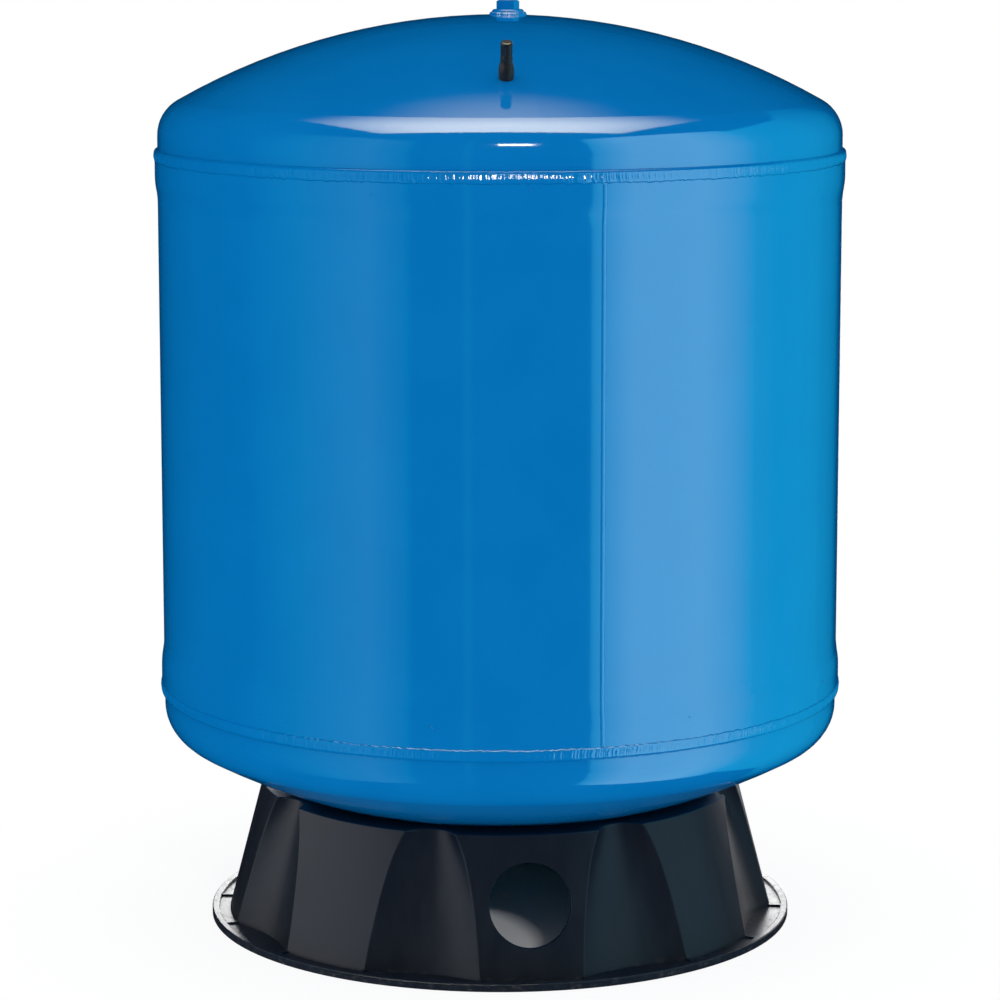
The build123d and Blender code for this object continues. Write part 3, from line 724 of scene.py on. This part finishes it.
def drops(name, places, finish):
    """One mesh of small balls; each place is a turn, a height and the radius of the ball."""
    round_turns = np.linspace(0, 2 * pi, 10, endpoint=False)
    corners, faces = [], []
    for turn, height, size in places:
        first = len(corners)
        wall = float(np.interp(height, shell_heights, shell_radii))
        out, up = around(turn, 1.0), Vector((0, 0, 1))
        side = up.cross(out)
        middle = around(turn, wall, height)
        for level in (-0.5, 0.1, 0.5, 0.8):
            ring = size * (1 - level**2) ** 0.5
            for spin in round_turns:
                around_it = side * ring * cos(spin) + up * ring * sin(spin)
                corners.append(middle + out * level * size * flatness + around_it)
        count = len(round_turns)
        for level in range(3):
            for number in range(count):
                after = (number + 1) % count
                low, high = first + level * count, first + (level + 1) * count
                faces.append((low + number, low + after, high + after, high + number))
        faces.append(tuple(range(first + 3 * count, first + 4 * count)))
        faces.append(tuple(reversed(range(first, first + count))))
    return new_piece(name, corners, faces, finish)


chance = np.random.default_rng(41)
drops_a_seam = 16
seen_drop = (-17.15, 0.2366, 1.5 * mm)  # the one in the photograph
spatter = [seen_drop]
for seam, way in ((shell_high, -1), (shell_low, 1)):
    for _ in range(drops_a_seam):
        turn = chance.uniform(0, 360)
        away = chance.uniform(12, 30) * mm
        spatter.append((turn, seam + way * away, chance.uniform(0.4, 0.9) * mm))
spatter_drops = drops("weld_spatter", spatter, blue_enamel)
painted_parts.objects.link(spatter_drops)
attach(spatter_drops, "tank")

# %% [markdown]
# ## Base
#
# The skirt is moulded in black polyethylene, with a faint blue cast. Its skin has a soft gloss with
# a very fine grain, and wanders a little where the plastic shrank. The foot flange gets scuffed when
# the tank is walked across a floor, so there the plastic is duller and a little paler. These pale
# patches near the floor are also a painted sheen on the flange.

# %% Black moulded plastic
base_plastic, skin = new_finish("base_plastic")
grain_height, sink_depth, scuff_height = 6e-6, 350e-6, 20e-6
scuffed_up_to, clean_from = 3 * mm, 9 * mm
grain = skin.noise(0.5 * mm, detail=2.0)
sink = skin.noise(55 * mm, detail=1.5)
flow = skin.noise(12 * mm, detail=3.0, where=skin.stretched((1, 1, 0.25)))
height_on_base = skin.node("ShaderNodeSeparateXYZ", {}, {0: skin.places()}).output("Z")
near_floor = 1 - skin.step(height_on_base, scuffed_up_to, clean_from)
# pale patches near the floor: partly scuff wear, partly a painted sheen on the foot flange
scuffs_and_sheen = skin.step(skin.noise(5 * mm, detail=5.0, roughness=0.7), 0.52, 0.66) * near_floor
darker, paler = rgb(0.0040, 0.0100, 0.0220), rgb(0.0055, 0.0125, 0.0260)
black = skin.mix(skin.step(flow, 0.35, 0.65), darker, paler)
skin.surface(
    {
        # the patches near the floor are mixed towards a paler grey: wear and painted sheen together
        "Base Color": skin.mix(scuffs_and_sheen * 0.5, black, rgb(0.06, 0.065, 0.07)),
        "Roughness": 0.33 + 0.10 * flow + 0.2 * scuffs_and_sheen,
        "Specular IOR Level": 0.5,
    },
    grain * grain_height + sink * sink_depth + scuffs_and_sheen * scuff_height,
)
give(base_plastic, "base")
black_parts.objects.link(frame["nodes"]["base"])

# %% [markdown]
# ## Air valve
#
# The stem is black rubber, snapped into a hole of the head, and its seal and the gasket in the cap
# are rubber too. The cap is a harder black plastic, rubbed paler where fingers turn it. Both are
# small, so a fine grain and a few patches are all that shows.

# %% Rubber and plastic of the valve
def black_rubber(name, tone, roughness, bloom):
    """Moulded rubber: a fine grain, and a pale bloom where it has been handled least."""
    material, rubber = new_finish(name)
    patches = rubber.step(rubber.noise(4 * mm, detail=3.0), 0.45, 0.7)
    rubber.surface(
        {
            "Base Color": rubber.mix(patches * bloom, rgb(tone, tone, tone), rgb(0.09, 0.09, 0.09)),
            "Roughness": roughness + 0.12 * patches,
            "Specular IOR Level": 0.4,
        },
        rubber.noise(0.35 * mm, detail=2.0) * 12e-6,
    )
    return material


stem_rubber = black_rubber("stem_rubber", 0.012, 0.42, 0.15)
give(stem_rubber, "valve_stem", "core_seal", "cap_gasket")

cap_plastic, cap_shader = new_finish("cap_plastic")
worn = cap_shader.step(cap_shader.noise(1.2 * mm, detail=4.0), 0.55, 0.72)
cap_shader.surface(
    {
        "Base Color": cap_shader.mix(worn * 0.3, rgb(0.010, 0.010, 0.012), rgb(0.05, 0.05, 0.05)),
        "Roughness": 0.28 + 0.2 * worn,
    },
    cap_shader.noise(0.25 * mm) * 6e-6,
)
give(cap_plastic, "valve_cap")
black_parts.objects.link(frame["nodes"]["valve_stem"])

# %% [markdown]
# ### Turned metals
#
# The tube, the core and its pin are turned brass, and the ties and the spring are steel: the tool
# leaves fine rings round them. The rings must follow the axis of each piece, which leans on the
# valve, so they are drawn by the distance along that axis, with noise of one dimension.

# %% Turned metals
def along_axis(shader, axis):
    """The distance of a point along an axis through the origin, as a value."""
    sockets = {0: shader.places(), 1: axis}
    return shader.node("ShaderNodeVectorMath", {"operation": "DOT_PRODUCT"}, sockets, out="Value")


def rings(shader, axis, pitch):
    """Fine uneven rings along an axis, from about 0.3 to 0.7."""
    sockets = {"W": along_axis(shader, axis), "Scale": 1 / pitch, "Detail": 3.0}
    return shader.node("ShaderNodeTexNoise", {"noise_dimensions": "1D"}, sockets)


def turned_metal(name, axis, dark, light, roughness):
    """Metal from a lathe, with rings round an axis and a faint stain."""
    material, metal = new_finish(name)
    marks = rings(metal, axis, 0.12 * mm)
    stain = metal.noise(3 * mm, detail=4.0)
    metal.surface(
        {
            "Base Color": metal.mix(metal.step(stain, 0.35, 0.65), rgb(*dark), rgb(*light)),
            "Metallic": 1.0,
            "Roughness": roughness + 0.15 * (marks - 0.5) + 0.1 * stain,
        },
        marks * 8e-6,
    )
    return material


upright_axis = Vector((0, 0, 1))
valve_brass = turned_metal("valve_brass", valve_axis, (0.62, 0.44, 0.17), (0.80, 0.62, 0.30), 0.24)
give(valve_brass, "valve_core", "core_pin")
hanger_brass = turned_metal("hanger_brass", upright_axis, (0.55, 0.38, 0.15), (0.74, 0.56, 0.27), 0.3)
give(hanger_brass, "bag_hanger")
steel_colours = ((0.50, 0.50, 0.49), (0.62, 0.61, 0.60))
stainless = turned_metal("stainless", upright_axis, *steel_colours, 0.26)
give(stainless, "lower_bag_tie", "upper_bag_tie")
spring_steel = turned_metal("spring_steel", valve_axis, *steel_colours, 0.2)
give(spring_steel, "core_spring")

# %% [markdown]
# ### The core's spring
#
# The spring is copied from its CAD piece. The share of its length that would stay when the pin is
# pressed by 0.8 mm is worked out, with the point it would be squeezed towards.

# %% The spring, and how much of it the pin would squeeze
pin_travel = 0.8 * mm
coil = bpy.data.objects.new("coil_spring", frame["nodes"]["core_spring"].data.copy())
bpy.context.scene.collection.objects.link(coil)
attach(coil, "tank")
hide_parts("core_spring")
coil_places = [(v.co - valve_foot).dot(valve_axis) for v in coil.data.vertices]
coil_low, coil_high = min(coil_places), max(coil_places)
coil_kept = 1 - pin_travel / (coil_high - coil_low)
coil_anchor = valve_foot + valve_axis * coil_low
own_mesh(coil)
print(f"spring {(coil_high - coil_low) / mm:.2f} mm long, kept {coil_kept:.3f} of it")

# %% [markdown]
# ### Threads and grips
#
# The CAD model has the threads as plain cylinders and the cap as a plain cup. Here the tube of the
# valve, the discharge fitting and the cap are turned again with their threads and finger grips: a
# closed section is revolved in small steps, and in one stretch of it the wall is cut back by a depth
# that depends on the height and the turn. For a thread the cut climbs by one pitch in each turn; for
# the grips it is the same at every height. They replace their CAD pieces and have the same sizes.

# %% The cuts of a thread and of grips
def thread(pitch, depth):
    """The cut of a thread: nothing at its crest, and the full depth half a pitch farther on."""

    def cut(height, turn):
        phase = height / pitch - turn / (2 * pi)
        return depth * (1 - 2 * np.abs(phase - np.floor(phase) - 0.5))

    return cut


def grips(count, depth):
    """The cut of upright grooves, evenly spaced round a cap."""

    def cut(height, turn):
        return depth * np.clip(np.cos(count * turn), 0, 1) ** 0.7 + 0 * height

    return cut


# %% A turned piece with a cut in one wall
run_out = 0.8 * mm  # a cut fades in and out over this length


def turned(name, node, body, section, wall, stretch, fineness, cut, foot, axis, segments, finish):
    """Revolves a closed section of (radius, height) points, with a cut in one stretch of one wall."""
    low, high = stretch
    fine = []
    for (r0, h0), (r1, h1) in zip(section, section[1:] + section[:1]):
        is_cut = r0 == r1 == wall and abs(h1 - h0) >= high - low
        steps = round(abs(h1 - h0) / fineness) if is_cut else 1
        for step in range(steps):
            share = step / steps
            fine.append((r0 + (r1 - r0) * share, h0 + (h1 - h0) * share, is_cut))
    radius, height, here = (np.array(column)[None, :] for column in zip(*fine))
    turn = np.linspace(0, 2 * pi, segments, endpoint=False)[:, None]
    fade = np.clip((height - low) / run_out, 0, 1) * np.clip((high - height) / run_out, 0, 1)
    radius = radius - here * fade * cut(height, turn)
    side = axis.orthogonal().normalized()
    ahead = axis.cross(side)
    points = (
        np.array(foot)
        + (radius * np.cos(turn))[:, :, None] * np.array(side)
        + (radius * np.sin(turn))[:, :, None] * np.array(ahead)
        + (height + 0 * turn)[:, :, None] * np.array(axis)
    )
    material, slot = finish
    made = swept_bead(name, points, True, material, smooth=False)
    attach(made, body)
    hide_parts(node)
    return made


# %% [markdown]
# ### The threaded tube of the valve
#
# Heights are counted along the valve's axis from its foot on the head. The thread runs from the
# shoulder above the rubber to the mouth, and the core sits in the wider bore at the top.

# %% The threaded tube of the valve
tube_pitch, tube_cut = 0.794 * mm, 0.42 * mm
tube_thread = 3.85 * mm
tube_radius, tube_bore, core_seat = 3.2 * mm, 1.9 * mm, 2.6 * mm
tube_low, tube_shoulder, tube_high, core_low = -10.4 * mm, 20.6 * mm, 30.45 * mm, 21.25 * mm
tube_section = [
    (tube_bore, tube_low),
    (tube_radius, tube_low),
    (tube_radius, tube_shoulder),
    (tube_thread, tube_shoulder + 0.5 * mm),
    (tube_thread, tube_high - 0.5 * mm),
    (tube_thread - 0.5 * mm, tube_high),
    (core_seat, tube_high),
    (core_seat, core_low),
    (tube_bore, core_low),
]
turned(
    "threaded_tube",
    node="stem_tube",
    body="tank",
    section=tube_section,
    wall=tube_thread,
    stretch=(tube_shoulder + 1 * mm, tube_high - 0.6 * mm),
    fineness=tube_pitch / 8,
    cut=thread(tube_pitch, tube_cut),
    foot=valve_foot,
    axis=valve_axis,
    segments=72,
    finish=(valve_brass, "brass"),
)

# %% [markdown]
# ### The threaded discharge fitting
#
# The pipe screws into it from below. Its bore is as wide as the crests of the thread, which is cut
# outwards from there, and it opens at the top into a seat for the guard.

# %% The threaded discharge fitting
port_pitch, port_cut = 2.209 * mm, -1.2 * mm  # below zero, since it is cut outwards into a bore
fitting_low, fitting_high = (corner.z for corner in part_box("discharge_fitting"))
fitting_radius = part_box("discharge_fitting")[1].x
port_bore, guard_seat_radius, guard_thick = 19.5 * mm, 23.7 * mm, 2.5 * mm
fitting_section = [
    (port_bore, fitting_low + 1.5 * mm),
    (port_bore + 1.5 * mm, fitting_low),
    (fitting_radius - 0.75 * mm, fitting_low),
    (fitting_radius, fitting_low + 0.75 * mm),
    (fitting_radius, fitting_high),
    (guard_seat_radius, fitting_high),
    (guard_seat_radius, fitting_high - guard_thick),
    (port_bore, fitting_high - guard_thick),
]
turned(
    "threaded_fitting",
    node="discharge_fitting",
    body="tank",
    section=fitting_section,
    wall=port_bore,
    stretch=(fitting_low + 2 * mm, fitting_high - guard_thick - 4 * mm),
    fineness=port_pitch / 8,
    cut=thread(port_pitch, port_cut),
    foot=Vector((0, 0, 0)),
    axis=upright_axis,
    segments=144,
    finish=(stainless, "stainless"),
)

# %% [markdown]
# ### The cap with its grips
#
# A cup that screws over the tube, with a rounded top edge and twelve upright grooves for the fingers.
# Its section keeps a hair's breadth off the axis, so that its top stays a ring of small faces.

# %% The cap with its grips
cap_low, cap_high, cap_ceiling = 20.6 * mm, 33.0 * mm, 31.4 * mm
cap_radius, cap_bore = 4.95 * mm, 4.0 * mm
grip_count, grip_depth = 12, 0.4 * mm
rounding, rounding_steps = 1.5 * mm, 8
middle_gap = 0.05 * mm
rounded = [
    (cap_radius - rounding * (1 - cos(a)), cap_high - rounding * (1 - sin(a)))
    for a in (pi / 2 * step / rounding_steps for step in range(rounding_steps + 1))
]
cap_section = [
    (cap_bore, cap_low),
    (cap_radius, cap_low),
    *rounded,
    (middle_gap, cap_high),
    (middle_gap, cap_ceiling),
    (cap_bore, cap_ceiling),
]
gripped_cap = turned(
    "gripped_cap",
    node="valve_cap",
    body="valve_cap",
    section=cap_section,
    wall=cap_radius,
    stretch=(cap_low + 0.6 * mm, cap_high - 2.4 * mm),
    fineness=0.3 * mm,
    cut=grips(grip_count, grip_depth),
    foot=valve_foot,
    axis=valve_axis,
    segments=144,
    finish=(cap_plastic, "cap_plastic"),
)
black_parts.objects.link(gripped_cap)

# %% [markdown]
# ## Inside the vessel
#
# Nothing of this shows in the photograph, but the model can be opened. The guard is natural white
# plastic, which lets a little light in and so looks uneven. The water bag is thick dull rubber,
# dusted with talc so that it doesn't stick to itself.

# %% Guard and bag finishes
guard_plastic, guard_shader = new_finish("guard_plastic")
haze = guard_shader.noise(6 * mm, detail=3.0)
guard_shader.surface(
    {
        "Base Color": guard_shader.mix(haze, rgb(0.66, 0.66, 0.61), rgb(0.80, 0.80, 0.76)),
        "Roughness": 0.38 + 0.2 * haze,
    },
    guard_shader.noise(0.4 * mm) * 8e-6,
)
give(guard_plastic, "outlet_guard")

bag_rubber, bag_shader = new_finish("bag_rubber")
talc = bag_shader.step(bag_shader.noise(25 * mm, detail=6.0, roughness=0.65), 0.42, 0.72)
bag_shader.surface(
    {
        "Base Color": bag_shader.mix(talc * 0.6, rgb(0.016, 0.016, 0.017), rgb(0.16, 0.16, 0.155)),
        "Roughness": 0.55 + 0.3 * talc,
        "Specular IOR Level": 0.3,
    },
    bag_shader.noise(0.8 * mm, detail=2.0) * 30e-6,
)
give(bag_rubber, "water_bag")

# %% [markdown]
# ### The slack bag
#
# The bag hangs between its two necks, and as the water leaves it folds into lobes. A fold can't be a
# bump, because it changes the outline. So the outline of the CAD bag is read from its vertices and
# turned again, with a radius that shrinks between the lobes, by most at mid height and by nothing at
# the necks. Its inner side lies one wall behind the outer one, along the outer side's normals.

# %% The outline of the CAD bag
bag_mesh = frame["nodes"]["water_bag"].data
bag_points = np.array([v.co for v in bag_mesh.vertices])


def ring_middle(height, reach):
    """Middle of the ring of vertices near one end of the bag."""
    ring = bag_points[np.abs(bag_points[:, 2] - height) < reach]
    return Vector((ring.min(axis=0) + ring.max(axis=0)) / 2)


bag_foot = ring_middle(bag_points[:, 2].min(), 1.5 * mm)
bag_head = ring_middle(bag_points[:, 2].max(), 1.5 * mm)
bag_up = (bag_head - bag_foot).normalized()


def along_and_out(point):
    """How far along the bag a point is, and its offset from the bag's axis."""
    along = (point - bag_foot).dot(bag_up)
    return along, point - bag_foot - bag_up * along


outline = {}
for face in bag_mesh.polygons:
    if face.normal.dot(along_and_out(face.center)[1].normalized()) > 0.02:
        for number in face.vertices:
            along, out = along_and_out(bag_mesh.vertices[number].co)
            outline[round(along, 4)] = max(out.length, outline.get(round(along, 4), 0))
bag_places = np.array(sorted(outline))
bag_radii = np.array([outline[place] for place in bag_places])
bag_length = bag_places[-1] - bag_places[0]
print(f"bag: {bag_length:.3f} m long, {2 * bag_radii.max():.3f} m wide")

# %% The slack bag with its lobes
bag_wall = 2.0 * mm
lobes, fold_depth, bag_twist = 5, 0.45, 0.6
slack_from, slack_to, slack_fade = 0.06, 0.95, 0.35  # shares of the bag's length
bag_segments, bag_rows = 180, 90
rows_along = np.linspace(bag_places[0], bag_places[-1], bag_rows)[None, :]
turns = np.linspace(0, 2 * pi, bag_segments, endpoint=False)[:, None]
part_way = (rows_along - bag_places[0]) / bag_length
slack = np.clip((part_way - slack_from) / slack_fade, 0, 1)
slack = slack * np.clip((slack_to - part_way) / slack_fade, 0, 1)
slack = slack**2 * (3 - 2 * slack)
fold = 0.5 - 0.5 * np.cos(lobes * turns + bag_twist * np.sin(3 * pi * part_way))
uneven = 0.85 + 0.15 * np.sin(2 * turns + 4 * part_way)
shrunk = 1 - fold_depth * slack * fold * uneven
skin_radii = np.interp(rows_along, bag_places, bag_radii) * shrunk
bag_side = Vector((0, 1, 0)).cross(bag_up).normalized()
bag_ahead = bag_up.cross(bag_side)
skin_points = (
    np.array(bag_foot)
    + (skin_radii * np.cos(turns))[:, :, None] * np.array(bag_side)
    + (skin_radii * np.sin(turns))[:, :, None] * np.array(bag_ahead)
    + (rows_along + 0 * turns)[:, :, None] * np.array(bag_up)
)
round_step = np.roll(skin_points, -1, axis=0) - np.roll(skin_points, 1, axis=0)
skin_normals = np.cross(round_step, np.gradient(skin_points, axis=1))
skin_normals /= np.linalg.norm(skin_normals, axis=2, keepdims=True)
inner_points = (skin_points - bag_wall * skin_normals)[:, ::-1]
bag_sides = np.concatenate([skin_points, inner_points], axis=1)
lobed_bag = swept_bead("lobed_bag", bag_sides, True, bag_rubber)
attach(lobed_bag, "tank")
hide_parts("water_bag")
